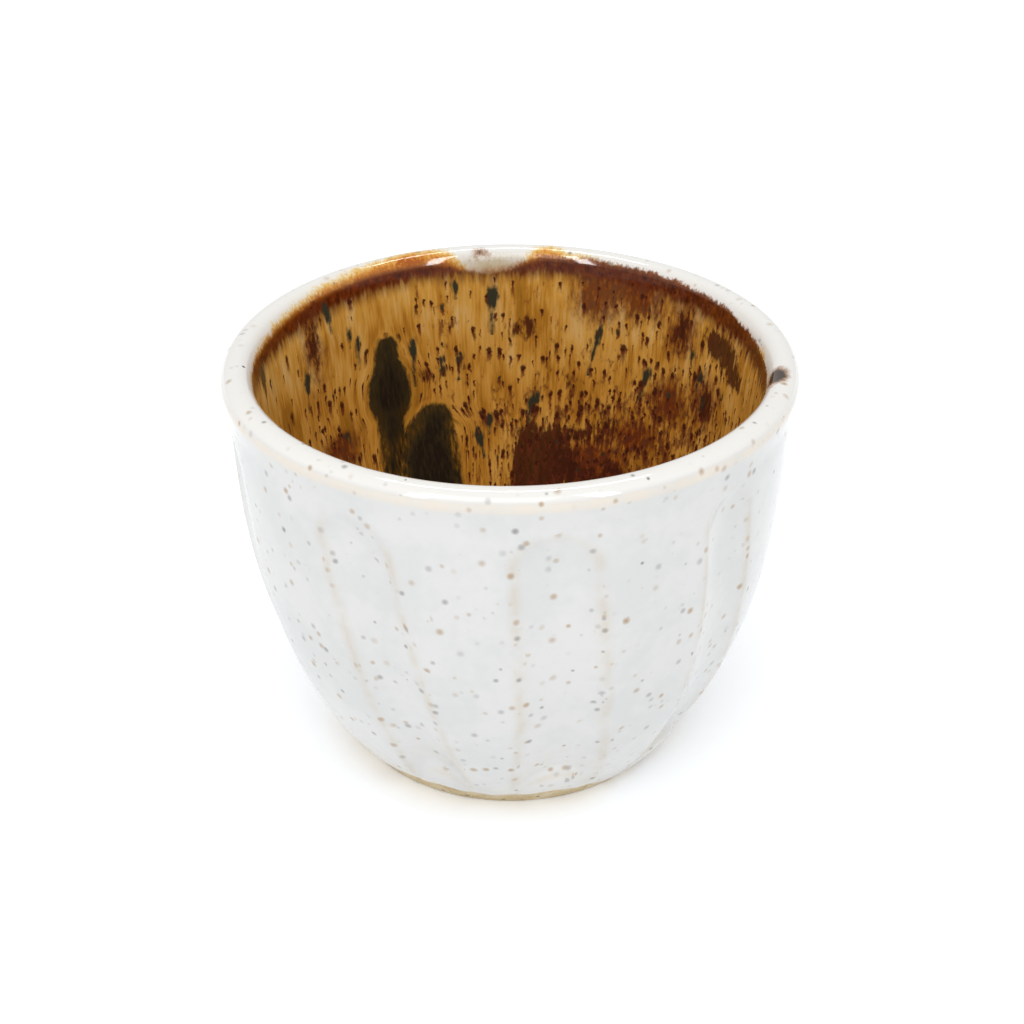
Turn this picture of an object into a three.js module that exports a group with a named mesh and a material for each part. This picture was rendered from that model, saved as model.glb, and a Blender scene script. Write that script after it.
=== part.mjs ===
// A handle-less espresso cup: a turned stoneware body with scooped flutes and a bare foot, a white coat
// of glaze outside and over the lip, an amber liner inside, and two dark glass runs lying on the liner.
// Millimetres, +Z up. The cup's axis is the Z axis and it stands on z = 0. Angles are in degrees, seen
// from above, from the cup's front (-Y) towards +X.
import * as THREE from 'three';

// Overall sizes
const RIM_DIAMETER = 66;
const HEIGHT = 49.7;
const FOOT_DIAMETER = 35.4;

// Curve of the outer wall, from the foot to the lip
const FOOT_FLARE = 40.4; // lean from upright where the wall leaves the foot
const FOOT_PULL = 24.1; // how far up the wall the flare reaches
const LIP_LEAN = 12; // lean from upright at the lip
const LIP_PULL = 9.4; // how far down the wall the lip's lean reaches

// Clay
const CLAY_AT_LIP = 2.2;
const CLAY_AT_FOOT = 4;
const FLOOR_THICKNESS = 5;
const FLOOR_FILLET = 7;
const FOOT_CHAMFER = 0.5;
const FOOT_RING_WIDTH = 4.5;
const RECESS_DEPTH = 1;
const RECESS_SLOPE = 0.8; // width of the sloped edge round the recess

// Glaze
const BOND_GAP = 0.1; // layer between clay and glass, and between two glazes
const OUTER_GLAZE = 0.55;
const LINER_GLAZE = 0.55;
const BARE_FOOT = 1.5; // height of the clay left bare above the table

// Flutes, scooped by hand and so unevenly spaced
const FLUTE_ANGLES = [-77.5, -31, 8.5, 46, 93, 140, 187, 235]; // centres at the flutes' tops
const FLUTE_DEPTH = 1;
const FLUTE_WIDTH_TOP = 8.6;
const FLUTE_WIDTH_FOOT = 10.4;
const FLUTE_DROP = 5.7; // from the rim down to the flutes' tops
const FLUTE_LIFT = 6; // from the table up to the flutes' ends
const FLUTE_END = 4.5; // height of a flute's rounded end
const FLUTE_DRIFT = 7; // how far a flute's centre turns on its way down

// Dark runs: drops of glass that slid down the liner side by side. The tall one starts under the rim, the
// broad one stops above the floor. A sag above 0 makes a run broader towards its lower end.
const RUN_SEAT = 0.3; // clearance to the liner
const RUN_GAP = 0.3; // clearance between the two runs
const TALL_RUN = { angle: -146, drop: 9.2, length: 14, width: 4.8, thickness: 0.5, sag: -0.1 };
const BROAD_RUN = { lift: 9, length: 16, width: 7.4, thickness: 0.6, sag: 0.2 };

// Mesh fineness
const SHAFT_ROWS = 6;
const LIP_STEPS = 7;
const INNER_ROWS = 9;
const FILLET_STEPS = 4;
const SCOOP_COLUMNS = 5;
const LAND_COLUMNS = 3;
const RUN_COLUMNS = 16;
const RUN_ROWS = 12;

const COLUMNS = FLUTE_ANGLES.length * (SCOOP_COLUMNS + LAND_COLUMNS);
const FLUTE_TOP = HEIGHT - FLUTE_DROP;

const { clamp, degToRad, lerp, radToDeg } = THREE.MathUtils;
const vector = (x, y) => new THREE.Vector2(x, y);

// A step of the given length from upright, leaning outwards by some degrees
function leaning(degrees, length) {
  const angle = degToRad(degrees);
  return vector(Math.sin(angle), Math.cos(angle)).multiplyScalar(length);
}

// The place between low and high where a rising function reaches zero
function rootOf(rising, low, high) {
  for (let step = 0; step < 50; step++) {
    const middle = (low + high) / 2;
    if (rising(middle) < 0) low = middle;
    else high = middle;
  }
  return (low + high) / 2;
}

// The lip is a half round about this centre, over the clay and its coat alike
const lipRadius = CLAY_AT_LIP / 2 + BOND_GAP + OUTER_GLAZE;
const lipCentre = vector(RIM_DIAMETER / 2 - lipRadius, HEIGHT - lipRadius);
const lipOutward = vector(Math.cos(degToRad(LIP_LEAN)), -Math.sin(degToRad(LIP_LEAN)));

// Outer face of the clay wall, before the flutes are cut
const footEdge = vector(FOOT_DIAMETER / 2, 0);
const wallTop = lipCentre.clone().addScaledVector(lipOutward, CLAY_AT_LIP / 2);
const wall = new THREE.CubicBezierCurve(
  footEdge,
  footEdge.clone().add(leaning(FOOT_FLARE, FOOT_PULL)),
  wallTop.clone().sub(leaning(LIP_LEAN, LIP_PULL)),
  wallTop,
);

const wallAtHeight = (height) => wall.getPoint(rootOf((t) => wall.getPoint(t).y - height, 0, 1));

// Inner face of the clay wall, level with the outer face's parameter t
function innerWall(t) {
  const along = wall.getTangent(t);
  const inward = vector(-along.y, along.x);
  return wall.getPoint(t).addScaledVector(inward, lerp(CLAY_AT_FOOT, CLAY_AT_LIP, t));
}

// A point of a turned outline. Points of the outer wall carry their height there, for the flutes.
const plain = (point) => ({ point, height: null });
const onWall = (height) => ({ point: wallAtHeight(height), height });

// Bare underside: the middle recess and the ring that the cup stands on
function underside() {
  const ringInside = FOOT_DIAMETER / 2 - FOOT_RING_WIDTH;
  return [
    vector(0, RECESS_DEPTH),
    vector(ringInside - RECESS_SLOPE, RECESS_DEPTH),
    vector(ringInside, 0),
    vector(FOOT_DIAMETER / 2 - FOOT_CHAMFER, 0),
  ].map(plain);
}

// Rows of the outer wall above the glaze line, closer together at the flutes' rounded ends
function glazedWall() {
  const lower = FLUTE_LIFT + FLUTE_END;
  const upper = FLUTE_TOP - FLUTE_END;
  const heights = [BARE_FOOT, FLUTE_LIFT, FLUTE_LIFT + FLUTE_END / 2];
  for (let row = 0; row <= SHAFT_ROWS; row++) heights.push(lerp(lower, upper, row / SHAFT_ROWS));
  heights.push(FLUTE_TOP - FLUTE_END / 2, FLUTE_TOP, wallTop.y);
  return heights.map(onWall);
}

// Half round over the lip, past the top of the outer wall, ending on the inner wall
function lip() {
  const start = lipOutward.angle();
  const points = [];
  for (let step = 1; step <= LIP_STEPS; step++) {
    const angle = start + (Math.PI * step) / LIP_STEPS;
    points.push(vector(Math.cos(angle), Math.sin(angle)).multiplyScalar(CLAY_AT_LIP / 2).add(lipCentre));
  }
  return points.map(plain);
}

// Inner wall down to a rounded corner and the floor's centre
function insideOfBowl() {
  const cornerT = rootOf((t) => innerWall(t).y - FLOOR_THICKNESS, 0, 1);
  const corner = innerWall(cornerT);
  const filletT = rootOf((t) => innerWall(t).distanceTo(corner) - FLOOR_FILLET, cornerT, 1);
  const fillet = new THREE.QuadraticBezierCurve(
    innerWall(filletT),
    corner,
    vector(corner.x - FLOOR_FILLET, FLOOR_THICKNESS),
  );
  const seam = innerWall(1).add(leaning(LIP_LEAN, -BOND_GAP));
  const points = [seam];
  for (let row = 1; row < INNER_ROWS; row++) points.push(innerWall(lerp(1, filletT, row / INNER_ROWS)));
  points.push(...fillet.getPoints(FILLET_STEPS));
  points.push(vector(0, FLOOR_THICKNESS));
  return points.map(plain);
}

// Give each point of an outline its outward normal, the mitre that keeps an offset outline parallel, and
// its rank along the outline
function withNormals(outline) {
  const normalAfter = (index) => {
    const along = outline[index + 1].point.clone().sub(outline[index].point).normalize();
    return vector(along.y, -along.x);
  };
  return outline.map((entry, index) => {
    const before = normalAfter(Math.max(index - 1, 0));
    const after = normalAfter(Math.min(index, outline.length - 2));
    const normal = before.clone().add(after).normalize();
    const mitre = normal.clone().divideScalar(normal.dot(after));
    if (entry.point.x === 0) mitre.set(0, Math.sign(after.y));
    return { ...entry, normal, mitre, rank: index };
  });
}

const coatedOutline = [...glazedWall(), ...lip()];
const linedOutline = insideOfBowl();
const bareOutline = [...underside(), onWall(FOOT_CHAMFER)];
const clay = withNormals([...bareOutline, ...coatedOutline, ...linedOutline]);
const coated = clay.slice(bareOutline.length, bareOutline.length + coatedOutline.length);
const lined = clay.slice(bareOutline.length + coatedOutline.length);

// An outline moved off the clay by some distance
function offset(outline, distance) {
  return outline.map((entry) => ({
    ...entry,
    point: entry.point.clone().addScaledVector(entry.mitre, distance),
  }));
}

// Where one flute lies at a height of the outer wall
function fluteAt(height) {
  const reached = clamp(height, FLUTE_LIFT, FLUTE_TOP);
  const down = (FLUTE_TOP - reached) / (FLUTE_TOP - FLUTE_LIFT);
  const width = lerp(FLUTE_WIDTH_TOP, FLUTE_WIDTH_FOOT, down);
  const pastEnd = Math.max(FLUTE_LIFT + FLUTE_END - height, height - FLUTE_TOP + FLUTE_END, 0) / FLUTE_END;
  return {
    drift: FLUTE_DRIFT * down,
    halfWidth: radToDeg(width / 2 / wallAtHeight(reached).x),
    pastEnd,
  };
}

// Angle of a mesh column, and how deep a flute cuts there, at a height of the outer wall
function columnAt(column, height) {
  const perFlute = SCOOP_COLUMNS + LAND_COLUMNS;
  const flute = Math.floor(column / perFlute) % FLUTE_ANGLES.length;
  const place = column % perFlute;
  const { drift, halfWidth, pastEnd } = fluteAt(height ?? FLUTE_TOP);
  const centre = FLUTE_ANGLES[flute] + drift;
  if (place < SCOOP_COLUMNS) {
    const across = (2 * place) / (SCOOP_COLUMNS - 1) - 1;
    const depth = height === null ? 0 : FLUTE_DEPTH * Math.max(0, 1 - across ** 2 - pastEnd ** 2);
    return { angle: centre + across * halfWidth, depth };
  }
  const turn = flute + 1 < FLUTE_ANGLES.length ? 0 : 360;
  const nextCentre = FLUTE_ANGLES[(flute + 1) % FLUTE_ANGLES.length] + turn + drift;
  const share = (place - SCOOP_COLUMNS + 1) / (LAND_COLUMNS + 1);
  return { angle: lerp(centre + halfWidth, nextCentre - halfWidth, share), depth: 0 };
}

// Triangles of a turned outline. A quad is split the same way whichever way its outline runs, so that
// the facets of two nested faces stay parallel.
function facets(outline) {
  const triangles = [];
  for (let column = 0; column < COLUMNS; column++) {
    for (let row = 0; row + 1 < outline.length; row++) {
      const here = column * outline.length + row;
      const beside = here + outline.length;
      const forward = outline[row].rank <= outline[row + 1].rank;
      if (forward) triangles.push(here, beside, here + 1, beside + 1, here + 1, beside);
      else triangles.push(here, beside, beside + 1, here, beside + 1, here + 1);
    }
  }
  return triangles;
}

// Turn an outline about the Z axis, with its mesh columns along the flutes and the flutes cut in
function turned(outline) {
  const geometry = new THREE.LatheGeometry(outline.map((entry) => entry.point), COLUMNS);
  const position = geometry.getAttribute('position');
  for (let column = 0; column <= COLUMNS; column++) {
    outline.forEach(({ point, normal, height }, row) => {
      const { angle, depth } = columnAt(column, height);
      const cut = point.clone().addScaledVector(normal, -depth);
      const turn = degToRad(angle);
      const index = column * outline.length + row;
      position.setXYZ(index, cut.x * Math.sin(turn), -cut.x * Math.cos(turn), cut.y);
    });
  }
  geometry.setIndex(facets(outline));
  geometry.computeVertexNormals();
  return geometry;
}

// The coat has two ends, so its outline closes on itself
function coatGeometry() {
  const inner = offset(coated, BOND_GAP);
  const outer = offset(coated, BOND_GAP + OUTER_GLAZE);
  return turned([...outer, ...inner.reverse(), outer[0]]);
}

// The liner covers the floor, so both its faces end on the axis
function linerGeometry() {
  const under = offset(lined, BOND_GAP);
  const over = offset(lined, BOND_GAP + LINER_GLAZE);
  return turned([...under.reverse(), ...over]);
}

// Radius of the liner's face at a height
function linerRadius(height) {
  const face = offset(lined, BOND_GAP + LINER_GLAZE).map((entry) => entry.point);
  const below = face.findIndex((point) => point.y <= height);
  const share = (height - face[below].y) / (face[below - 1].y - face[below].y);
  return lerp(face[below].x, face[below - 1].x, share);
}

// A sphere pressed on the liner below its top: flat behind, domed in front and pear-shaped down its length
function runGeometry({ length, width, thickness, sag }, angle, top) {
  const geometry = new THREE.SphereGeometry(1, RUN_COLUMNS, RUN_ROWS);
  const position = geometry.getAttribute('position');
  for (let index = 0; index < position.count; index++) {
    const up = position.getY(index);
    const across = position.getX(index) * (1 - sag * up);
    const height = top - (length / 2) * (1 - up);
    const seat = linerRadius(height) - RUN_SEAT;
    const turn = degToRad(angle) - (across * width) / 2 / seat;
    const radius = seat - thickness * Math.max(position.getZ(index), 0);
    position.setXYZ(index, radius * Math.sin(turn), -radius * Math.cos(turn), height);
  }
  geometry.computeVertexNormals();
  return geometry;
}

function tallRunGeometry() {
  return runGeometry(TALL_RUN, TALL_RUN.angle, HEIGHT - TALL_RUN.drop);
}

function broadRunGeometry() {
  const top = FLOOR_THICKNESS + BROAD_RUN.lift + BROAD_RUN.length;
  const reach = (run) => (run.width / 2) * (1 + Math.abs(run.sag));
  const apart = reach(TALL_RUN) + RUN_GAP + reach(BROAD_RUN);
  const narrowest = linerRadius(top - BROAD_RUN.length) - RUN_SEAT;
  return runGeometry(BROAD_RUN, TALL_RUN.angle - radToDeg(apart / narrowest), top);
}

function piece(name, geometry, color, roughness) {
  const material = new THREE.MeshStandardMaterial({ color, roughness, metalness: 0 });
  const mesh = new THREE.Mesh(geometry, material);
  mesh.name = name;
  return mesh;
}

const cup = new THREE.Group();
cup.name = 'espresso_cup';
cup.add(piece('stoneware_body', turned(clay), 0xc8a873, 0.85));
cup.add(piece('white_outer_glaze', coatGeometry(), 0xe8e9e8, 0.25));
cup.add(piece('amber_liner_glaze', linerGeometry(), 0xb07a2c, 0.12));
cup.add(piece('dark_run_tall', tallRunGeometry(), 0x1d160d, 0.1));
cup.add(piece('dark_run_broad', broadRunGeometry(), 0x1d160d, 0.1));

export default cup;
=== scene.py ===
# Looks of a handle-less stoneware espresso cup: bare clay foot, white glaze with scooped flutes outside,
# streaked amber glaze inside, and two dark glass runs on it. Sizes are in millimetres, on the frame's axes.
# Angles are in degrees, seen from above, from the cup's front (-Y) towards +X.
import math

import bpy
import numpy as np
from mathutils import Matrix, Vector

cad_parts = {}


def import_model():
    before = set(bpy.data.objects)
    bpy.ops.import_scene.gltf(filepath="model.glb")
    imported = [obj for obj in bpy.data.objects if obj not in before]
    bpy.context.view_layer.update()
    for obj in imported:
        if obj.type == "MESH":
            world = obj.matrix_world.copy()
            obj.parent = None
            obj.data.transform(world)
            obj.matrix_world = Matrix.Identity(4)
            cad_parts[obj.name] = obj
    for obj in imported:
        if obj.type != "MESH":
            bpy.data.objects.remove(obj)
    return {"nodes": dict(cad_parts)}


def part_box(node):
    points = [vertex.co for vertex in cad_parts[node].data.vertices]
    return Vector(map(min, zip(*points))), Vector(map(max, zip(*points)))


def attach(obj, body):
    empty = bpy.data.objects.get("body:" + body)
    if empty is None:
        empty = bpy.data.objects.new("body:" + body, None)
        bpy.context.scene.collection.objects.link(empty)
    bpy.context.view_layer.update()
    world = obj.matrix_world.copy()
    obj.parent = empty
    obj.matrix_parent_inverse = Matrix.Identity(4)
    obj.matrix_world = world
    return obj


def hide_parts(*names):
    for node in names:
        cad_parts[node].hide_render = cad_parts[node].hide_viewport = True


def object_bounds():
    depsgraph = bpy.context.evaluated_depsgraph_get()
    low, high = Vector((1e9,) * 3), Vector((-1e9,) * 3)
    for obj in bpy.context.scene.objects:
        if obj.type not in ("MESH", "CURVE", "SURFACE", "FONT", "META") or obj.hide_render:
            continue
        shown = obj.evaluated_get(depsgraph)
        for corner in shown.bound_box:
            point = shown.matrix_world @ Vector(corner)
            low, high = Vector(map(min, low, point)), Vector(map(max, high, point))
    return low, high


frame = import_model()
cad_low, cad_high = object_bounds()

MM = 0.001

# Sizes of the solids that help to read others from the frame
BOND_GAP = 0.1
FOOT_CHAMFER = 0.5

# Sizes read from the frame
RIM_RADIUS = min(-cad_low.x, cad_high.x, -cad_low.y, cad_high.y) / MM
HEIGHT = cad_high.z / MM
FLOOR_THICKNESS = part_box("amber_liner_glaze")[0].z / MM - BOND_GAP
FOOT_RADIUS = FOOT_CHAMFER + max(
    vertex.co.xy.length / MM
    for vertex in frame["nodes"]["stoneware_body"].data.vertices
    if vertex.co.z < cad_low.z + FOOT_CHAMFER / 2 * MM
)

# Wall, lip, floor and glaze, as the solids have them
FOOT_FLARE = 40.4
FOOT_PULL = 24.1
LIP_LEAN = 12
LIP_PULL = 9.4
CLAY_AT_LIP = 2.2
CLAY_AT_FOOT = 4
FLOOR_FILLET = 7
GLAZE = 0.55
FOOT_RING_WIDTH = 4.5
RECESS_DEPTH = 1
RECESS_BEVEL = 0.8

# Traces of handwork and glazing, which the solids leave out
LIP_UNDERCUT = 0.1  # the wall is drawn in a little below the lip
LIP_UNDERCUT_DROP = 4.6
LIP_UNDERCUT_REACH = 1.3
WOBBLE = 0.12  # how far the hand-thrown shape strays inwards
RIM_DIP = 0.95  # the rim is lower on one side
RIM_DIP_ANGLE = -22
EDGE_BEAD = 0.9  # the white glaze rounds off over this length to its lower edge
BARE_CLAY_DEPTH = 0.12  # the bare clay of the foot lies this far below the glaze's face
EDGE_GAP = 0.02  # between the clay and the tip of the glaze's edge
FOOT_ROUND = 0.3
SWIRL_DEPTH = 0.05  # rings left by throwing in the recess under the foot
SWIRL_RATE = 5.5  # radians for each millimetre outwards
SEAM_GAP = 0.004  # between the white coat and the amber liner
SEAM_STEP = 0.02  # the last row of faces before the seam, which keeps its corner crisp

# Height of the white glaze's lower edge at angles round the cup, which is lowest at the front right
GLAZE_EDGE = [
    (-150, 2.4), (-110, 2.0), (-75, 2.6), (-50, 2.3), (-26, 2.7), (-6, 2.0), (16, 2.5), (27, 2.1), (34, 1.2),
    (40, 0.5), (62, 0.6), (80, 1.6), (110, 2.6), (150, 2.0),
]
EDGE_WAVES = [(11, 0.1, 0), (29, 0.07, 1)]  # small waves along that edge: number, height and phase
EDGE_ROUGH_HEIGHT = 0.9  # near enough to place the mesh columns
BARE_TOP = 1.2 * max(height for _, height in GLAZE_EDGE)  # no bare clay shows above this height

# Flutes: angle of the top, width at the top, width at the foot, and turn on the way down
FLUTES = [
    (-77.5, 8.8, 9.6, 8),
    (-32.5, 9.0, 7.6, 10.5),
    (8.1, 9.4, 10.2, 6),
    (47, 7.2, 9.2, 9),
    (93, 8.6, 9.8, 7),
    (140, 9.0, 9.4, 8),
    (187, 8.4, 10.0, 6),
    (235, 9.2, 9.2, 8),
]
FLUTE_DEPTH = 1
FLUTE_DROP = 5.7
FLUTE_LIFT = 6
FLUTE_END = 4.5
FLUTE_SOFTNESS = 0.13
ARCH_TOP = 6.2  # a flute ends low in an arch, over a lump of glaze
ARCH_FALL = 3.4
ARCH_STEP = 2.2
POCKET_DEPTH = 0.3
POCKET_HEIGHT = 9
POCKET_LENGTH = 4
LUMP = 0.16
LUMP_DROP = 1.8
LUMP_LENGTH = 1.2

# Mesh fineness
OUTLINE_POINTS = 600
SCOOP_COLUMNS = 21
LAND_COLUMNS = 24
COAT_ROWS = 150
HIDDEN_ROWS = 60
UNDERSIDE_ROWS = 70
FOOT_ROUND_ROWS = 6
COAT_CROWDING = 1.15  # over 1, the rows lie closer together towards the foot
HIDDEN_CROWDING = 1.6
CLAY_CROWDING = 1.8
LINER_COLUMNS = 800
LINER_ROWS = 170
RUN_COLUMNS = 40
RUN_ROWS = 90

# Flat maps, through which the materials can be baked
BAKE_MAP = "OFBake"
MAP_MARGIN = 0.004
HIDDEN_SHARE = 0.1


# Numbers and curves


def smooth(low, high, value):
    """0 below low and 1 above high, with a soft rise between."""
    share = np.clip((value - low) / (high - low), 0, 1)
    return share * share * (3 - 2 * share)


def bell(distance, width):
    return np.exp(-((distance / width) ** 2))


def around(angle):
    """An angle brought to -180 to 180 degrees."""
    return (angle + 180) % 360 - 180


def leaning(degrees):
    """Unit step in (radius, height) that leans outwards from upright."""
    return np.array([math.sin(math.radians(degrees)), math.cos(math.radians(degrees))])


def bezier(points, share):
    """Points of a Bezier curve of any degree."""
    degree = len(points) - 1
    share = np.asarray(share)[:, None]
    return sum(
        math.comb(degree, power) * (1 - share) ** (degree - power) * share**power * np.asarray(point)
        for power, point in enumerate(points)
    )


class Outline:
    """A turned outline in (radius, height), with its arc length and the normals on its right-hand side."""

    def __init__(self, points):
        self.points = np.asarray(points)
        steps = np.linalg.norm(np.diff(self.points, axis=0), axis=1)
        self.arc = np.r_[0, np.cumsum(steps)]
        along = np.gradient(self.points, self.arc, axis=0)
        along /= np.linalg.norm(along, axis=1)[:, None]
        self.normals = np.c_[along[:, 1], -along[:, 0]]

    def moved(self, distance):
        return Outline(self.points + self.normals * distance)

    def at(self, arc, offset=0.0):
        """Radius and height at an arc length, moved off along the normal."""
        columns = (*self.points.T, *self.normals.T)
        radius, height, out, up = (np.interp(arc, self.arc, column) for column in columns)
        return radius + out * offset, height + up * offset


# Outline of the glazed faces, from the foot up the wall, over the lip and down to the middle of the floor


def clay_outline():
    share = np.linspace(0, 1, OUTLINE_POINTS)
    lip_centre = np.array([RIM_RADIUS, HEIGHT]) - LIP_RADIUS
    outward = np.array([leaning(LIP_LEAN)[1], -leaning(LIP_LEAN)[0]])
    foot = np.array([FOOT_RADIUS, 0])
    top = lip_centre + outward * CLAY_AT_LIP / 2
    flare = foot + leaning(FOOT_FLARE) * FOOT_PULL
    wall = Outline(bezier([foot, flare, top - leaning(LIP_LEAN) * LIP_PULL, top], share))
    turn = np.radians(np.linspace(-LIP_LEAN, 180 - LIP_LEAN, OUTLINE_POINTS // 4))
    lip = lip_centre + CLAY_AT_LIP / 2 * np.c_[np.cos(turn), np.sin(turn)]
    thickness = CLAY_AT_FOOT + (CLAY_AT_LIP - CLAY_AT_FOOT) * share
    inner = (wall.points - wall.normals * thickness[:, None])[::-1]
    corner = inner[np.argmin(abs(inner[:, 1] - FLOOR_THICKNESS))]
    from_corner = np.linalg.norm(inner - corner, axis=1)
    bend = np.argmax((from_corner < FLOOR_FILLET) & (inner[:, 1] < HEIGHT / 2))
    floor_edge = np.array([corner[0] - FLOOR_FILLET, FLOOR_THICKNESS])
    fillet = bezier([inner[bend], corner, floor_edge], share[::6])
    floor = floor_edge * (1 - share[::12, None]) + np.array([0, FLOOR_THICKNESS]) * share[::12, None]
    return Outline(np.vstack([wall.points, lip[1:-1], inner[:bend], fillet, floor[1:]]))


LIP_RADIUS = CLAY_AT_LIP / 2 + BOND_GAP + GLAZE
FACE = clay_outline().moved(BOND_GAP + GLAZE)
CREST_ROW = int(np.argmax(FACE.points[:, 1]))
CREST = FACE.arc[CREST_ROW]
SEAM = CREST + LIP_RADIUS * math.radians(90 - LIP_LEAN)  # where the white coat meets the amber liner
FLUTE_TOP = HEIGHT - FLUTE_DROP


def arc_at_height(height):
    """Arc length up the outer wall to a height."""
    return np.interp(height, FACE.points[:CREST_ROW, 1], FACE.arc[:CREST_ROW])


def wall_radius(height):
    return np.interp(height, FACE.points[:CREST_ROW, 1], FACE.points[:CREST_ROW, 0])


def thrown(radius, height, angle):
    """Points in metres, with the slight unevenness of a pot made by hand. It only ever draws inwards."""
    turn = np.radians(angle)
    stray = 0.5 + 0.25 * np.cos(2 * turn + 0.6 + height / 40) + 0.25 * np.cos(3 * turn + 2.1)
    radius = radius * (1 - WOBBLE / RIM_RADIUS * stray)
    dip = RIM_DIP * (0.5 + 0.5 * np.cos(turn - math.radians(RIM_DIP_ANGLE))) ** 1.5
    height = height * (1 - dip / HEIGHT * (height / HEIGHT) ** 2)
    return np.stack([radius * np.sin(turn), -radius * np.cos(turn), height + 0 * turn], -1) * MM


# Flutes


def flute_places(height):
    """Angle of the middle and half the width in degrees, of each flute at some heights."""
    reached = np.clip(height, FLUTE_LIFT, FLUTE_TOP)
    down = (FLUTE_TOP - reached) / (FLUTE_TOP - FLUTE_LIFT)
    for angle, top_width, foot_width, drift in FLUTES:
        width = top_width + (foot_width - top_width) * down
        yield angle + drift * down, np.degrees(width / 2 / wall_radius(reached))


def fluted_columns(height):
    """Angles of the mesh columns at some heights: close across each flute, wider on the lands between."""
    edges = [(middle - half, middle + half) for middle, half in flute_places(height)]
    edges.append((edges[0][0] + 360, edges[0][1] + 360))
    scoop_shares = np.linspace(0, 1, SCOOP_COLUMNS)
    land_shares = np.linspace(0, 1, LAND_COLUMNS + 2)[1:-1]
    columns = []
    for (left, right), (next_left, _) in zip(edges, edges[1:]):
        columns += [left + (right - left) * share for share in scoop_shares]
        columns += [right + (next_left - right) * share for share in land_shares]
    return np.stack(columns, -1)


def thin_glaze_and_pocket_shade(inside, above_arch, past_top):
    """How the glaze thins on the sides of a flute and along its arch, with painted shade in the pocket over
    the arch.
    """
    side = bell(inside, 0.26) * smooth(-0.5, 1.5, above_arch) * (1 - 0.7 * smooth(0, 0.8, past_top))
    arch = 0.85 * bell(above_arch + 0.2, 0.4) * smooth(-0.1, 0.2, inside)
    # painted shade: a tan tint in the pocket over the arch, where the flute's floor faces down into shade
    pocket_shade = 0.3 * bell(above_arch - 2.6, 1.8) * np.clip(inside, 0, 1)
    return np.maximum.reduce([side, arch, pocket_shade])


def flute_shape(angle, height):
    """How deep the flutes cut at points of the wall, and how the glaze thins there, with the flutes' pockets
    painted as shade.
    """
    past_top = np.clip((height - FLUTE_TOP + FLUTE_END) / FLUTE_END, 0, None)
    depth, thinning_and_shade = 0, 0
    for middle, half in flute_places(height):
        across = around(angle - middle) / half
        inside = 1 - across**2 - past_top**2
        scoop = (inside + np.sqrt(inside**2 + FLUTE_SOFTNESS**2)) / 2
        above_arch = height - ARCH_TOP + ARCH_FALL * np.clip(across**2, 0, 1)
        open_end = smooth(-ARCH_STEP / 2, ARCH_STEP / 2, above_arch)
        deeper = FLUTE_DEPTH + POCKET_DEPTH * bell(height - POCKET_HEIGHT, POCKET_LENGTH)
        lump = LUMP * bell(above_arch + LUMP_DROP, LUMP_LENGTH) * np.clip(inside, 0, 1)
        depth = depth + scoop * open_end * deeper - lump
        thinning_and_shade = np.maximum(thinning_and_shade, thin_glaze_and_pocket_shade(inside, above_arch, past_top))
    return depth, thinning_and_shade


# Meshes


def face_list(rings, columns, closed):
    """Quads between neighbouring rings of a grid whose columns run all the way round."""
    ring = np.arange(rings if closed else rings - 1)[:, None]
    column = np.arange(columns)[None, :]
    above = (ring + 1) % rings
    beside = (column + 1) % columns
    here, over = ring * columns, above * columns
    corners = (here + column, here + beside, over + beside, over + column)
    return np.stack(corners, -1).reshape(-1, 4).tolist()


def cap(pole, first, columns, outwards):
    """Triangles from one ring to a point."""
    ring = [(first + column, first + (column + 1) % columns) for column in range(columns)]
    return [(pole, a, b) if outwards else (pole, b, a) for a, b in ring]


def ring_levels(points, shown, poles):
    """How far along each ring of points lies, from 0 to 1, counting from pole to pole or back to the first
    ring. Steps between hidden rings count little."""
    weights = np.where(shown, 1, HIDDEN_SHARE)
    if poles is None:
        rings = np.vstack([points, points[:1]])
    else:
        first, last = (points[:1] * 0 + pole for pole in poles)
        rings = np.vstack([first, points, last])
        weights = np.r_[weights[0], weights]
    steps = np.linalg.norm(np.diff(rings, axis=0), axis=2).mean(1) * weights
    return np.r_[0, np.cumsum(steps)] / np.sum(steps)


def flat_map(levels, columns, poles):
    """Places of the faces' corners on a flat map, in the faces' order, in two strips that each go half-way
    round."""
    left = np.arange(columns) / columns
    right = left + 1 / columns
    rings = levels if poles is None else levels[1:-1]
    ends = np.stack([rings[:-1], rings[:-1], rings[1:], rings[1:]], -1)[:, None]
    groups = [((left, right, right, left), ends)]
    if poles is not None:
        centre = (left + right) / 2
        groups.append(((centre, right, left), levels[[0, 1, 1]]))
        groups.append(((centre, left, right), levels[[-1, -2, -2]]))
    strip = (np.arange(columns) >= columns / 2)[:, None]
    flat = []
    for sides, ends in groups:
        across, along = np.broadcast_arrays(2 * np.stack(sides, -1)[None] - strip, ends)
        u, v = (MAP_MARGIN + (1 - 2 * MAP_MARGIN) * place for place in (across, along))
        flat.append(np.stack([u, (v + strip) / 2], -1).reshape(-1, 2))
    return np.vstack(flat)


def placed(name, data):
    """A new object in the scene."""
    made = bpy.data.objects.new(name, data)
    bpy.context.scene.collection.objects.link(made)
    return made


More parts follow.
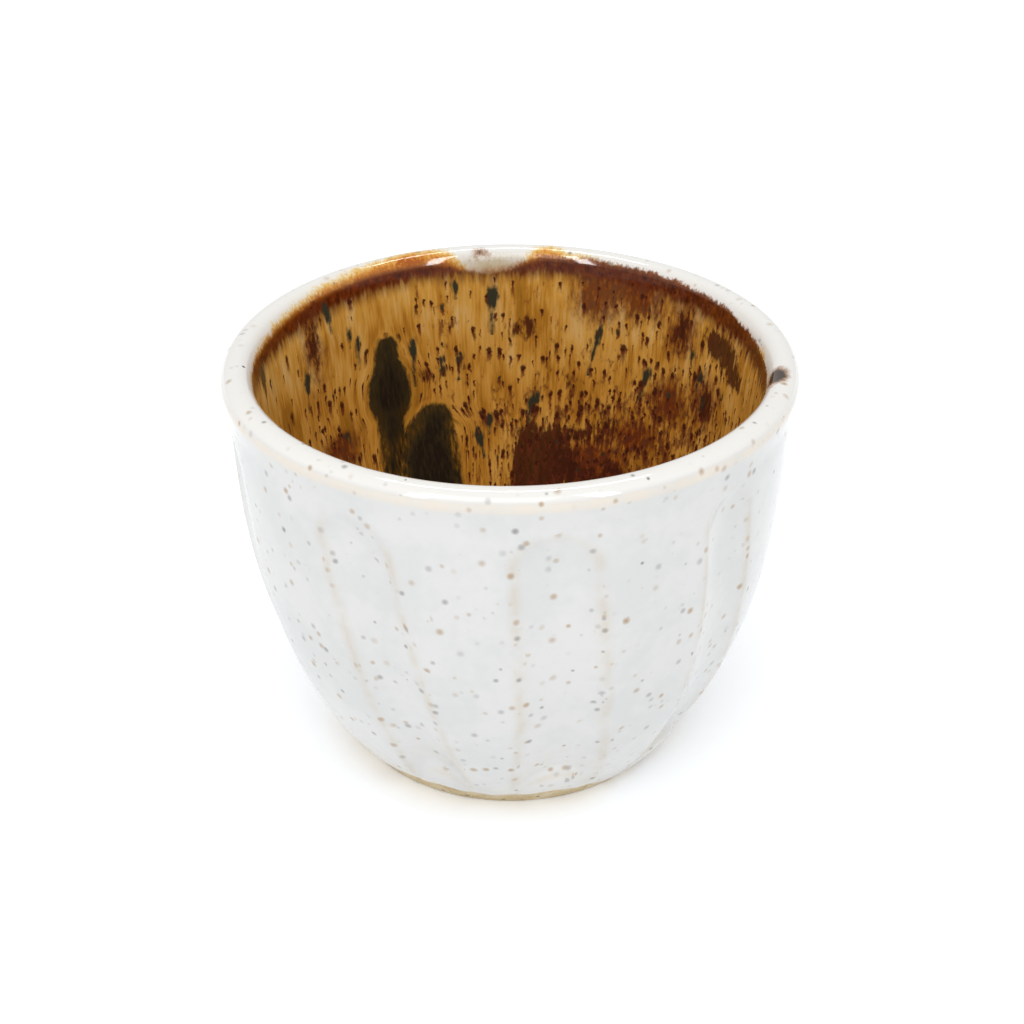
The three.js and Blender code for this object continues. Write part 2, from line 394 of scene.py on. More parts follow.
def make_piece(name, points, fields, shown, poles=None):
    """A closed mesh of rings of points. With poles its two ends close on points, else the last ring meets the
    first. Fields are numbers or vectors for each point, which the materials read. Shown tells which rings can
    be seen."""
    rings, columns = points.shape[:2]
    vertices = points.reshape(-1, 3)
    faces = face_list(rings, columns, closed=poles is None)
    if poles is not None:
        count = len(vertices)
        vertices = np.vstack([vertices, np.asarray(poles)])
        faces += cap(count, 0, columns, outwards=False)
        faces += cap(count + 1, (rings - 1) * columns, columns, outwards=True)
    mesh = bpy.data.meshes.new(name)
    mesh.from_pydata(vertices.tolist(), [], faces)
    mesh.polygons.foreach_set("use_smooth", np.ones(len(mesh.polygons), bool))
    places = flat_map(ring_levels(points, shown, poles), columns, poles)
    mesh.uv_layers.new(name=BAKE_MAP).uv.foreach_set("vector", places.ravel().astype(np.float32))
    for field, values in fields.items():
        values = np.broadcast_to(values, points.shape[:2] + np.shape(values)[2:])
        flat = values.reshape(rings * columns, -1)
        if poles is not None:
            flat = np.vstack([flat, flat[:columns].mean(0), flat[-columns:].mean(0)])
        kind, key = ("FLOAT", "value") if flat.shape[1] == 1 else ("FLOAT_VECTOR", "vector")
        mesh.attributes.new(field, kind, "POINT").data.foreach_set(key, flat.ravel().astype(np.float32))
    mesh.validate()
    return placed(name, mesh)


def hand_in(piece, material, node):
    piece.data.materials.append(material)
    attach(piece, "root")
    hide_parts(node)


def along_line(angle, line):
    """Value at an angle of a line round the cup, which is given as pairs of an angle and a value."""
    angles, values = zip(*line)
    return np.interp(angle, angles, values, period=360)


def above_glaze_edge(angle, arc):
    """Length up the wall from the white glaze's wavy lower edge."""
    turn = np.radians(angle)
    wave = sum(height * np.sin(number * turn + phase) for number, height, phase in EDGE_WAVES)
    return arc - arc_at_height(along_line(angle, GLAZE_EDGE) + wave)


def edge_drops(above):
    """How far the white glaze's face, its back and the clay lie below the full glaze face near the lower edge
    of the glaze. Below the edge the clay is bare."""
    share = np.clip(above / EDGE_BEAD, 0, 1)
    under = smooth(0, 1, share)
    tip = BARE_CLAY_DEPTH + EDGE_GAP
    face = BARE_CLAY_DEPTH * (1 - np.sqrt(1 - (1 - share) ** 2))
    back = tip - EDGE_GAP / 2 + (GLAZE - tip + EDGE_GAP / 2) * under
    clay = tip + (GLAZE + BOND_GAP - tip) * under
    return face, back, clay


def wall_cut(angle, arc):
    """How deep the flutes and the undercut of the lip go into the outer wall, and how the glaze thins, with
    painted shade in the flutes' pockets.
    """
    height = FACE.at(arc)[1]
    depth, thinning_and_shade = flute_shape(angle, height)
    undercut = LIP_UNDERCUT * bell(height - HEIGHT + LIP_UNDERCUT_DROP, LIP_UNDERCUT_REACH)
    outside = arc < CREST
    return np.where(outside, depth + undercut, 0), np.where(outside, thinning_and_shade, 0)


def fluted_face(shares, layer):
    """The white glaze's face or back, from its lower edge to the seam: angles, arcs, points, how the glaze
    thins with the painted shade of the flutes' pockets, and lengths above its lower edge."""
    rough_start = arc_at_height(EDGE_ROUGH_HEIGHT)
    angle = fluted_columns(FACE.at(rough_start + shares * (SEAM - rough_start))[1])
    start = -above_glaze_edge(angle, 0)
    arc = start + shares[:, None] * (SEAM - start)
    cut, thinning_and_shade = wall_cut(angle, arc)
    radius, height = FACE.at(arc, -cut - edge_drops(arc - start)[layer])
    return angle, arc, thrown(radius, height, angle), thinning_and_shade, arc - start


def white_coat(material):
    shares = np.linspace(0, 1, COAT_ROWS) ** COAT_CROWDING
    shares[-2] = 1 - SEAM_STEP / (SEAM - arc_at_height(0))
    angle, arc, face, thinning_and_shade, above_edge = fluted_face(shares, layer=0)
    hidden_shares = np.linspace(1, 0, HIDDEN_ROWS)[:-1] ** HIDDEN_CROWDING
    hidden_angle, hidden_arc, back, _, _ = fluted_face(hidden_shares, layer=1)
    angles = np.vstack([angle, hidden_angle])
    arcs = np.vstack([arc, hidden_arc])
    blank = np.zeros_like(hidden_arc)
    fields = lip_fields(angles, arcs - CREST)
    # how the glaze thins, with painted shade in the flutes' pockets
    fields["thinning_and_shade"] = np.vstack([thinning_and_shade, blank])
    fields["above_foot"] = np.vstack([above_edge, blank])
    shown = np.arange(len(arcs)) < COAT_ROWS
    piece = make_piece("white_coat", np.vstack([face, back]), fields, shown)
    hand_in(piece, material, "white_outer_glaze")


def underside(columns):
    """Rings of the foot's underside, from near its middle out over the ring that it stands on and round its
    edge."""
    ring_inside = FOOT_RADIUS - FOOT_RING_WIDTH
    foot_arc = arc_at_height(0)
    corner = np.array([FACE.at(foot_arc, -BARE_CLAY_DEPTH)[0], 0])
    round_end = np.array(FACE.at(foot_arc + FOOT_ROUND, -BARE_CLAY_DEPTH - EDGE_GAP))
    radius = np.linspace(0, corner[0] - FOOT_ROUND, UNDERSIDE_ROWS)[1:]
    recess = RECESS_DEPTH * smooth(ring_inside, ring_inside - RECESS_BEVEL, radius)
    radius, recess = radius[:, None], recess[:, None]
    swirl = SWIRL_DEPTH * np.sin(radius * SWIRL_RATE + np.radians(columns)) * smooth(0, 0.3, recess)
    flat = thrown(radius, recess + swirl, columns)
    shares = np.linspace(0, 1, FOOT_ROUND_ROWS + 2)[1:-1]
    edge = bezier([corner - [FOOT_ROUND, 0], corner, round_end], shares)
    return np.vstack([flat, thrown(edge[:, :1], edge[:, 1:], columns)])


def clay_body(material):
    under = underside(fluted_columns(np.array([0.0])))
    foot_arc = arc_at_height(0) + FOOT_ROUND
    arc = foot_arc + (SEAM - foot_arc) * np.linspace(0, 1, 2 * HIDDEN_ROWS) ** CLAY_CROWDING
    angle = fluted_columns(FACE.at(arc)[1])
    arc = np.broadcast_to(arc[:, None], angle.shape)
    drop = wall_cut(angle, arc)[0] + edge_drops(above_glaze_edge(angle, arc))[2]
    wall = thrown(*FACE.at(arc, -drop), angle)
    bowl_arc = np.linspace(SEAM, FACE.arc[-1], HIDDEN_ROWS)[1:-1, None]
    bowl = thrown(*FACE.at(bowl_arc, -GLAZE - BOND_GAP), fluted_columns(np.array([HEIGHT])))
    poles = [(0, 0, RECESS_DEPTH * MM), (0, 0, FLOOR_THICKNESS * MM)]
    points = np.vstack([under, wall, bowl])
    shown = points[..., 2].max(1) < BARE_TOP * MM
    piece = make_piece("clay_body", points, {}, shown, poles)
    hand_in(piece, material, "stoneware_body")


# Glaze inside: each mark has an angle, and depths below the lip's crest along the glaze

# Dark runs are chains of ovals: angle and depth of the middle, width and length
TALL_RUN = [
    (213.6, 11.9, 3.0, 3.2), (213.6, 13.8, 3.2, 5), (213.8, 15.6, 4.6, 5), (214, 17.8, 6.2, 7),
    (214.6, 22.4, 3.8, 9), (216.2, 27, 3.0, 8),
]
BROAD_RUN = [(201.4, 23.4, 4.8, 6), (204.3, 29.4, 8.4, 15.6)]
RUNS = [TALL_RUN, BROAD_RUN]
OVAL_FULLNESS = 2.5  # 2 would be an ellipse
FAR_OUTSIDE = 1e-8  # keeps the logarithm of melted ovals in bounds
RUN_INSET = 0.1  # the lens of glass ends this far inside the run's dark edge
RUN_LEAST_HALF = 0.1
RUN_THICKNESS = 0.4
RUN_SLOPE = 0.22  # where a run is narrow, its thickness as a share of half its width
RUN_SINK = 0.02  # its back lies this far inside the liner

# Streaks flow down the wall and part round the runs
FLOW_RADIUS = 28  # of the cylinder that the patterns are laid out on
FLOW_FLOOR = 18  # inside this radius the streaks draw together towards the middle of the floor
FLOW_LEAST_RADIUS = 6
PARTING = 0.75  # streaks move aside by this share of half a run's width
PARTING_EDGE = 0.8
PARTING_REACH = 2.5

# Lines round the inside, as pairs of an angle and a depth
WHITE_ENDS = [
    (0, 3.0), (92, 3.2), (105, 2.75), (120, 2.1), (140, 1.75), (160, 1.65), (172, 1.9), (176, 2.5),
    (180, 3.4), (184, 3.8), (188, 3.6), (192, 3.2), (195, 2.5), (200, 1.9), (215, 1.9), (230, 2.2),
    (250, 2.8), (300, 2.9),
]
BAND_ENDS = [
    (0, 4.6), (92, 4.9), (110, 4.4), (129, 3.9), (157, 3.7), (172, 3.6), (178, 3.8), (184, 4.1), (191, 3.8),
    (200, 3.5), (215, 3.9), (230, 4.2), (250, 4.6), (310, 4.4),
]
STAIN_TOPS = [
    (0, 3.4), (92, 3.2), (97, 2.2), (102, 3.2), (129, 2.6), (150, 2.2), (160, 1.6), (166, 0.8), (170, -0.2),
    (174, 0.2), (178, 3.0), (182, 5.0), (188, 5.0), (191, 3.0), (194, 0.8), (198, -0.4), (206, -0.6),
    (212, 0.1), (222, 0.6), (235, 1.2), (250, 2.0), (270, 2.7),
]
STAIN_RISE = (-1.6, 2.6)  # the stain of thin glaze grows between these depths below its top
CREAM_ANGLE = 184  # the white of the lip dips here in a cream tongue
CREAM_SPREAD = 9
WARM_ANGLE = 225  # the rust is reddest here
WARM_SPREAD = 50

# Brown blotches on the lip: angle and depth of the middle, width and length
LIP_MARKS = [(79, 0.9, 3.6, 2.6), (187, 1.3, 0.9, 0.6)]

# Slate-dark streaks: angle at the top, turn on the way down, depth of the top, length and width
SLATE_STREAKS = [
    (184.6, 0.2, 5.2, 7.0, 1.9), (230.8, -1.6, 3.2, 5.2, 1.1), (221.8, 0.4, 9.0, 4.6, 0.7),
    (206, 0, 11.1, 6.8, 0.95), (224.2, 0.3, 7.7, 2.8, 0.7), (240.8, 1.4, 10.1, 5.6, 1.8),
    (264, 0.8, 3.9, 6.4, 2.3), (141, 3, 13.5, 5.6, 1.4), (173, 3, 19.6, 5.4, 1.4),
    (156.2, 2.6, 10.0, 6.8, 0.85), (123.5, 1.5, 11.4, 3.0, 1.0), (127.8, 0, 9.3, 2.4, 0.8),
    (189.5, -2.3, 24.4, 4.4, 1.1), (185.8, 0, 22.6, 2.8, 1.3), (229.4, 0, 20.5, 2.0, 1.3),
    (193.2, 0.6, 14.2, 3.6, 0.8), (198.5, 0, 14.0, 2.6, 0.9), (121.5, 0, 14.2, 2.4, 1.2),
    (194.2, -0.4, 4.6, 2.6, 0.9), (113.5, 0.4, 12.2, 2.2, 0.6), (70, 0.5, 8.6, 3.2, 1.0),
    (38, -0.5, 5.2, 4.0, 1.2), (12, 0.5, 12.5, 3.0, 0.9), (-24, 0.4, 6.4, 3.6, 1.1),
    (-52, -0.4, 14.0, 2.8, 0.8),
]
FAR_FROM_SLATE = 3.0  # how far outside the streaks a point is said to be where none is near

# Brown patches: angle and depth of the middle, width and length
BROWN_PATCHES = [
    (172.6, 29.5, 6.2, 11.8), (168, 28.3, 5.8, 9.2), (163.5, 29.6, 3.6, 4.2), (156, 30.2, 3.0, 2.6),
    (149, 28.4, 2.4, 1.6), (161.5, 25.3, 3.2, 1.7), (158.4, 24.4, 2.8, 1.5), (155.4, 23.4, 2.4, 1.3),
    (152.8, 22.4, 2.0, 1.1), (119, 7.0, 4.6, 3.4), (114.5, 7.7, 4.6, 3.2), (109.5, 9.0, 4.0, 2.4),
    (132.4, 7.4, 1.8, 3.4), (120.4, 15.2, 2.2, 3.2), (178.2, 11.4, 1.4, 0.9), (175.2, 11.1, 0.5, 0.7),
    (163.6, 18.0, 0.8, 1.1), (203.2, 16.4, 1.1, 0.9), (198.0, 16.6, 0.8, 1.0), (236.6, 8.0, 1.2, 3.6),
    (30, 24, 9, 7), (-40, 7.2, 7, 2.6), (64, 17, 3, 4),
]
HAZY_PATCHES = [
    (157.5, 6.4, 5.0, 4.8), (151, 5.4, 6.0, 3.6), (145, 5.4, 4.0, 3.6), (133.5, 17.2, 4.6, 4.4),
    (120.6, 15.2, 4.4, 5.2), (232, 22.8, 4.6, 3.4), (132.4, 7.6, 3.6, 4.4), (237, 8.2, 2.0, 5.0),
    (155, 28.6, 10, 6.4), (143, 23.4, 6, 3.6), (20, 8, 8, 4),
]


def run_half_width(depth, ovals):
    """Half the width of a run at a depth, where its ovals melt into one another."""
    total = 0
    for _, middle, width, length in ovals:
        share = np.clip(1 - abs((depth - middle) / (length / 2)) ** OVAL_FULLNESS, 0, 1)
        total = total + (width / 2 * share ** (1 / OVAL_FULLNESS)) ** 4
    return total**0.25


def run_ends(ovals):
    """Depths of a run's top and bottom."""
    tops = [middle - length / 2 for _, middle, _, length in ovals]
    bottoms = [middle + length / 2 for _, middle, _, length in ovals]
    return min(tops), max(bottoms)


def run_middle(depth, ovals):
    """Angle of a run's middle line at a depth."""
    angles, depths, _, _ = zip(*ovals)
    return np.interp(depth, depths, angles)


def sideways(angle, depth, middle):
    """Distance along the glaze from a point to an angle, level with it."""
    return np.radians(around(angle - middle)) * FACE.at(CREST + depth)[0]


def oval_distance(angle, depth, ovals, melt):
    """How far inside a group of ovals a point lies, with the ovals melted together. It is below 0 outside."""
    total = FAR_OUTSIDE
    for middle, oval_depth, width, length in ovals:
        across = abs(sideways(angle, depth, middle)) / (width / 2)
        along = abs(depth - oval_depth) / (length / 2)
        reach = (across**OVAL_FULLNESS + along**OVAL_FULLNESS) ** (1 / OVAL_FULLNESS)
        total = total + np.exp((1 - reach) * min(width, length) / 2 / melt)
    return melt * np.log(total)


def parted(angle, depth):
    """Angle that a flow line came from, so that the streaks part round the dark runs."""
    shift = 0
    for ovals in RUNS:
        top, bottom = run_ends(ovals)
        beside = sideways(angle, depth, run_middle(depth, ovals))
        half = run_half_width(np.clip(depth, top + 1, bottom - 1), ovals)
        near = smooth(top - 2, top + 4, depth) * (1 - smooth(bottom, bottom + 6, depth))
        fading = np.exp(-np.clip(abs(beside) - half, 0, None) / PARTING_REACH)
        shift = shift + half * np.tanh(beside / PARTING_EDGE) * fading * near
    radius = FACE.at(CREST + depth)[0].clip(FLOW_LEAST_RADIUS)
    return angle - np.degrees(shift * PARTING / radius)


def flow_place(angle, depth):
    """Place for the glaze's patterns: round a cylinder and down along the glaze."""
    turn = np.radians(parted(angle, depth))
    radius = FLOW_RADIUS * np.clip(FACE.at(CREST + depth)[0] / FLOW_FLOOR, 0, 1)
    return np.stack([radius * np.sin(turn), -radius * np.cos(turn), depth + 0 * turn], -1)


def lip_fields(angle, depth):
    """Fields that the lip's colours read, on the coat and on the liner alike."""
    return {
        "flow": flow_place(angle, depth),
        "below_white": depth - along_line(angle, WHITE_ENDS),
        "below_band": depth - along_line(angle, BAND_ENDS),
        "stain": smooth(*STAIN_RISE, depth - along_line(angle, STAIN_TOPS)),
        "cream": bell(around(angle - CREAM_ANGLE), CREAM_SPREAD) + 0 * depth,
        "warm": bell(around(angle - WARM_ANGLE), WARM_SPREAD) + 0 * depth,
        "lip_mark": oval_distance(angle, depth, LIP_MARKS, melt=0.2),
    }


def slate_distance(angle, depth):
    """How far inside a slate streak a point lies: a round head, and a thin tail that fades out below."""
    inside = np.full(np.broadcast(angle, depth).shape, -FAR_FROM_SLATE)
    for top_angle, turn, top, length, width in SLATE_STREAKS:
        share = np.clip((depth - top) / length, 0, 1)
        beside = sideways(angle, depth, top_angle + turn * share)
        half = width / 2 * (0.2 + 0.8 * (1 - smooth(0.2, 0.65, share))) * (1 - 0.6 * share**2)
        above = np.clip(top + width - depth, 0, None) * 0.6
        past_end = FAR_FROM_SLATE * (depth > top + length)
        inside = np.maximum(inside, half - np.hypot(beside, above) - past_end)
    return inside


def speckle_density(angle, depth):
    """Share of the brown specks that show: few high on the left, many low on the right."""
    right = bell(around(angle - 130), 52)
    low = smooth(12, 27, depth)
    low_right = right * smooth(9, 25, depth)
    back = bell(around(angle - 199), 9) * bell(depth - 14, 6)
    high_back = bell(around(angle - 200), 6) * bell(depth - 9, 2)
    low_left = bell(around(angle - 238), 24) * smooth(10, 17, depth)
    share = 0.1 + 0.38 * right + 0.58 * low_right + 0.2 * low + 0.4 * back + 0.4 * high_back + 0.18 * low_left
    on_wall = smooth(FLOW_FLOOR / 2, FLOW_FLOOR, FACE.at(CREST + depth)[0])
    return np.clip(share * (0.15 + 0.85 * on_wall), 0, 1)


def inside_fields(angle, depth):
    return {
        **lip_fields(angle, depth),
        "run": np.maximum(*(oval_distance(angle, depth, ovals, melt=0.3) for ovals in RUNS)),
        "slate": slate_distance(angle, depth),
        "patch": oval_distance(angle, depth, BROWN_PATCHES, melt=0.2),
        "haze": oval_distance(angle, depth, HAZY_PATCHES, melt=0.4),
        "speckle": speckle_density(angle, depth),
    }


def amber_liner(material):
    angle = np.linspace(0, 360, LINER_COLUMNS, endpoint=False)[None, :]
    start = SEAM + SEAM_GAP
    face_arcs = np.linspace(start, FACE.arc[-1], LINER_ROWS)[:-1, None]
    face_arcs[1] = start + SEAM_STEP
    back_arcs = np.linspace(FACE.arc[-1], start, HIDDEN_ROWS)[1:, None]
    arcs = np.vstack([back_arcs, face_arcs])
    offsets = np.vstack([np.full_like(back_arcs, -GLAZE), np.zeros_like(face_arcs)])
    points = thrown(*FACE.at(arcs, offsets), angle)
    floor_height = FLOOR_THICKNESS + BOND_GAP
    poles = [(0, 0, floor_height * MM), (0, 0, (floor_height + GLAZE) * MM)]
    angle, depth = np.broadcast_arrays(angle, arcs - CREST)
    shown = np.arange(len(arcs)) >= len(back_arcs) - 1
    piece = make_piece("amber_liner", points, inside_fields(angle, depth), shown, poles)
    hand_in(piece, material, "amber_liner_glaze")


def dark_run(name, material, node, ovals):
    """A lens of glass lying on the liner, thickest low down and feathered out to nothing all round."""
    share = np.linspace(0, 1, RUN_ROWS + 2)[1:-1, None]
    core_top, core_bottom = run_ends(ovals)
    top, bottom = core_top + RUN_INSET, core_bottom - RUN_INSET
    depth = top + (bottom - top) * (1 - np.cos(np.pi * share)) / 2
    half = np.maximum(run_half_width(depth, ovals) - RUN_INSET, RUN_LEAST_HALF)
    across = np.cos(np.linspace(0, 2 * np.pi, RUN_COLUMNS, endpoint=False))[None, :]
    front = (np.arange(RUN_COLUMNS) < RUN_COLUMNS / 2)[None, :]
    lengthwise = smooth(0, 0.5, share) * (1 - smooth(0.7, 1, share))
    thickness = np.minimum(RUN_THICKNESS, RUN_SLOPE * half) * lengthwise
    rise = np.where(front, thickness * (1 - across**2), -RUN_SINK)
    radius, height = FACE.at(CREST + depth + 0 * across, rise)
    angle = run_middle(depth, ovals) + np.degrees(half * across / FACE.at(CREST + depth)[0])
    points = thrown(radius, height, angle)
    end_depths = np.array([top, bottom])
    poles = thrown(*FACE.at(CREST + end_depths), run_middle(end_depths, ovals))
    angle, depth = np.broadcast_arrays(angle, depth)
    piece = make_piece(name, points, inside_fields(angle, depth), np.ones(RUN_ROWS, bool), poles)
    hand_in(piece, material, node)


# Materials


def srgb(red, green, blue):
    """A colour given as 0 to 255 on screen, as Blender's linear colour."""
    shares = (channel / 255 for channel in (red, green, blue))
    return (*(share / 12.92 if share < 0.04045 else ((share + 0.055) / 1.055) ** 2.4 for share in shares), 1)


class Field:
    """What a node gives, such as a number or a colour over a surface, and what can be made from it."""

    def __init__(self, nodes, socket):
        self.nodes = nodes
        self.socket = socket

    def math(self, operation, *others):
        return self.nodes.result("ShaderNodeMath", self, *others, operation=operation)

    def vector(self, operation, *others):
        made = self.nodes.node("ShaderNodeVectorMath", self, *others, operation=operation)
        return Field(self.nodes, made.outputs["Value" if operation == "LENGTH" else "Vector"])

    def __add__(self, other):
        return self.math("ADD", other)

    def __sub__(self, other):
        return self.math("SUBTRACT", other)

    def __mul__(self, other):
        return self.math("MULTIPLY", other)

    __rmul__ = __mul__

    def sway(self, amount):
        """A field from 0 to 1 as a sway about zero, with an amount from end to end."""
        return (self - 0.5) * amount

    def between(self, low, high, first=0, last=1, kind="LINEAR"):
        """From first to last, as the field goes from low to high."""
        made = self.nodes.node("ShaderNodeMapRange", interpolation_type=kind)
        self.nodes.fill(made, Value=self, From_Min=low, From_Max=high, To_Min=first, To_Max=last)
        return Field(self.nodes, made.outputs["Result"])

    def rise(self, low, high):
        """0 at low and 1 at high, with a soft rise between. High may be the lesser."""
        return self.between(low, high, kind="SMOOTHSTEP")

    def mix(self, first, second):
        """The first colour where the field is 0 and the second where it is 1."""
        made = self.nodes.node("ShaderNodeMix", self, data_type="RGBA")
        self.nodes.put(made.inputs[6], first)
        self.nodes.put(made.inputs[7], second)
        return Field(self.nodes, made.outputs[2])

    def ramp(self, stops):
        """Colours along the field, from pairs of a position and a colour."""
        made = self.nodes.node("ShaderNodeValToRGB", self)
        elements = made.color_ramp.elements
        for _ in stops[2:]:
            elements.new(0.5)
        for element, (position, colour) in zip(elements, stops):
            element.position = position
            element.color = colour
        return Field(self.nodes, made.outputs["Color"])

    def parts(self):
        made = self.nodes.node("ShaderNodeSeparateXYZ", self)
        return [Field(self.nodes, output) for output in made.outputs]

    def noise(self, size, stretch=1, detail=2, roughness=0.5, output="Fac"):
        """Soft random field from 0 to 1, with features of about a size, drawn out along the third axis."""
        made = self.nodes.node("ShaderNodeTexNoise")
        scaled = self.vector("DIVIDE", (size, size, size * stretch))
        self.nodes.fill(made, Vector=scaled, Scale=1, Detail=detail, Roughness=roughness)
        return Field(self.nodes, made.outputs[output])

    def strayed(self, size, amount):
        """A place moved at random each way, so that marks laid out on it get uneven edges."""
        random = self.noise(size, roughness=0.6, output="Color")
        centred = random.vector("SUBTRACT", (0.5,) * 3)
        return self.vector("ADD", centred.vector("MULTIPLY", (amount,) * 3))

    def cells(self, spacing, flat=False):
        """Scattered points: the vector from the nearest one, and three random numbers that it has."""
        scaled = self.vector("DIVIDE", spacing)
        made = self.nodes.node("ShaderNodeTexVoronoi", voronoi_dimensions="2D" if flat else "3D")
        self.nodes.fill(made, Vector=scaled, Scale=1)
        nearest, random = (Field(self.nodes, made.outputs[name]) for name in ("Position", "Color"))
        return scaled.vector("SUBTRACT", nearest).vector("MULTIPLY", spacing), random.parts()


class Nodes:
    """A node tree."""

    def __init__(self, tree):
        self.tree = tree

    def put(self, socket, value):
        if isinstance(value, Field):
            self.tree.links.new(value.socket, socket)
        else:
            socket.default_value = value

    def node(self, kind, *values, **settings):
        """A new node, with values for its first sockets in their order."""
        made = self.tree.nodes.new(kind)
        for key, value in settings.items():
            setattr(made, key, value)
        for socket, value in zip(made.inputs, values):
            self.put(socket, value)
        return made

    def fill(self, made, **values):
        """Values for a node's sockets by name, with _ for a space."""
        for name, value in values.items():
            self.put(made.inputs[name.replace("_", " ")], value)
        return made

    def result(self, kind, *values, **settings):
        """The first output of a new node."""
        return Field(self, self.node(kind, *values, **settings).outputs[0])

    def joined(self, *values):
        return self.result("ShaderNodeCombineXYZ", *values)


class Shader(Nodes):
    """The node tree of a piece's material."""

    def __init__(self, name):
        self.material = bpy.data.materials.new(name)
        self.material.use_nodes = True
        super().__init__(self.material.node_tree)
        self.surface = self.tree.nodes["Principled BSDF"]

    def attribute(self, name, output="Fac"):
        return Field(self, self.node("ShaderNodeAttribute", attribute_name=name).outputs[output])

    def flow(self):
        """Place for the glaze's patterns, which the meshes carry."""
        return self.attribute("flow", "Vector")

    def place(self):
        """Place on the object in millimetres."""
        made = self.node("ShaderNodeTexCoord")
        return Field(self, made.outputs["Object"]).vector("MULTIPLY", (1 / MM,) * 3)

    def bump(self, height, distance):
        """Relief of a height from 0 to 1, with the distance in millimetres."""
        made = self.fill(self.node("ShaderNodeBump"), Height=height, Distance=distance * MM)
        self.fill(self.surface, Normal=Field(self, made.outputs["Normal"]))

    def finish(self, **sockets):
        self.fill(self.surface, **sockets)
        return self.material


# White glaze

WHITE = srgb(236, 236, 234)
COOL_WHITE = srgb(230, 231, 230)
WARM_WHITE = srgb(250, 248, 243)
PURE_WHITE = (1, 1, 1, 1)
TAN = srgb(214, 190, 152)
# beige of the glaze thinning at the lip's shoulder, painted lighter than the wall as the light that the
# upward-tilted shoulder catches
BEIGE_AND_PAINTED_LIGHT = srgb(248, 236, 219)
CREAM = srgb(246, 234, 212)
CREAM_SHADE = srgb(206, 190, 154)
MARK_TAN = srgb(168, 118, 66)
MARK_BROWN = srgb(46, 29, 17)
SPECK_TAN = srgb(176, 134, 70)
SPECK_GREY = srgb(104, 95, 90)
SPECK_DARK = srgb(52, 36, 28)
GREY_SPECK_SHIFT = (31, 17, 53)  # moves the specks' pattern, so that their layers differ
DARK_SPECK_SHIFT = (7, 71, 29)

# Tones, as pairs of a position and a colour
STAIN_TONES = [
    (0.15, PURE_WHITE),
    (0.35, srgb(252, 232, 184)),
    (0.55, srgb(246, 202, 118)),
    (0.8, srgb(230, 156, 56)),
    (1.0, srgb(186, 98, 20)),
]
RUST_RED = [(0.32, srgb(72, 25, 9)), (0.5, srgb(104, 42, 11)), (0.7, srgb(136, 62, 16))]
RUST_BROWN = [(0.32, srgb(66, 26, 10)), (0.5, srgb(98, 42, 14)), (0.7, srgb(130, 66, 22))]
RED_EDGE = [(0.35, srgb(186, 98, 22)), (0.65, srgb(226, 150, 54))]
BROWN_EDGE = [(0.35, srgb(112, 56, 20)), (0.65, srgb(172, 102, 42))]


def speck_layer(place, spacing, radius, shown):
    """Mask of round soft specks, of which a share is shown, and a random number for each."""
    apart, chance = place.cells((spacing,) * 3)
    grown = radius * (chance[1] * 0.7 + 0.6)
    mask = apart.vector("LENGTH").rise(grown * 1.2, grown * 0.2)
    return mask * (chance[0] - shown).rise(0.02, -0.02), chance[2]


def lip_white(shader):
    """The white of the lip, with the orange stain of thin glaze and brown blotches."""
    flow = shader.flow()
    stain = shader.attribute("stain")
    cloud = flow.noise(1.8, stretch=1.5, detail=4)
    grain = flow.noise(0.35, stretch=1.5, detail=3, roughness=0.7)
    colour = (stain.rise(0, 0.6) * 0.5).mix(WARM_WHITE, CREAM)
    shade = shader.attribute("cream") * (flow.parts()[2] + grain.sway(2)).rise(0.8, 3.2)
    colour = shade.mix(colour, CREAM_SHADE)
    amount = stain * 1.15 + cloud.sway(0.8) + grain.sway(1.1) - 0.15
    colour = colour.vector("MULTIPLY", amount.ramp(STAIN_TONES))
    mark = shader.attribute("lip_mark") + cloud.sway(1.4) + grain.sway(0.8)
    colour = (mark.rise(-0.6, 0) * 0.8).mix(colour, MARK_TAN)
    return (mark.rise(-0.2, 0.35) * 0.95).mix(colour, MARK_BROWN)


def white_mask(shader):
    """1 below the white of the lip: a soft edge on the left, and a comb of small teeth on the right."""
    flow = shader.flow()
    soft = shader.attribute("cream").math("MAXIMUM", shader.attribute("warm") * 0.7)
    teeth = flow.noise(0.35, stretch=1.4, detail=3, roughness=0.6)
    wave = flow.noise(2.5, stretch=2)
    edge = shader.attribute("below_white") + teeth.sway(1.2) + wave.sway(0.8)
    return edge.rise(soft * -0.6 - 0.3, soft * 0.4 + 0.15)


def rust(shader):
    """Rust brown of the band under the rim: orange towards its top and on the left, darker on the right."""
    grain = shader.flow().noise(0.6, stretch=1.8, detail=4, roughness=0.6)
    depth = shader.attribute("below_white") + grain.sway(0.8)
    warm = shader.attribute("warm")
    dark = warm.mix(grain.ramp(RUST_BROWN), grain.ramp(RUST_RED))
    edge = warm.mix(grain.ramp(BROWN_EDGE), grain.ramp(RED_EDGE))
    return depth.rise(-0.5, 0.8).mix(edge, dark)


